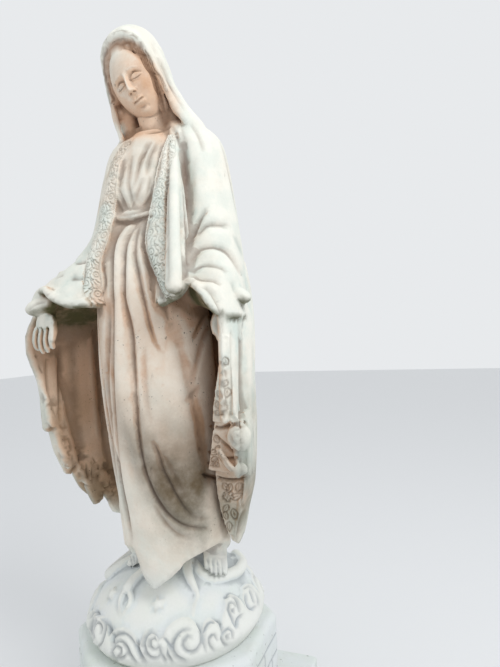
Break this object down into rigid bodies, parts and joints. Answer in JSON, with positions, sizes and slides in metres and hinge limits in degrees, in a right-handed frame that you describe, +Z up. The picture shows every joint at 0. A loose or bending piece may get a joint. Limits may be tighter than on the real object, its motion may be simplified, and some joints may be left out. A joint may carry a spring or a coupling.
{
  "type": "cast stone garden statue",
  "caption": "Standing veiled woman with lowered open arms in a long gown and mantle, on a globe with snake and clouds, over an octagonal plinth.",
  "frame": {"origin": "middle of the slab's underside", "axes": "+Z up, the figure faces -Y, her left is towards +X"},
  "size_m": [0.4727, 0.458, 1.4026],
  "materials": {
    "cast_stone": "matt cast stone, pale outside and warm in the folds, weathered",
    "plinth_stone": "matt pale grey cast stone, weathered"
  },
  "bodies": {
    "root": {"statue_figure": "cast_stone", "plinth_octagon": "plinth_stone", "plinth_slab": "plinth_stone"}
  },
  "joints": []
}
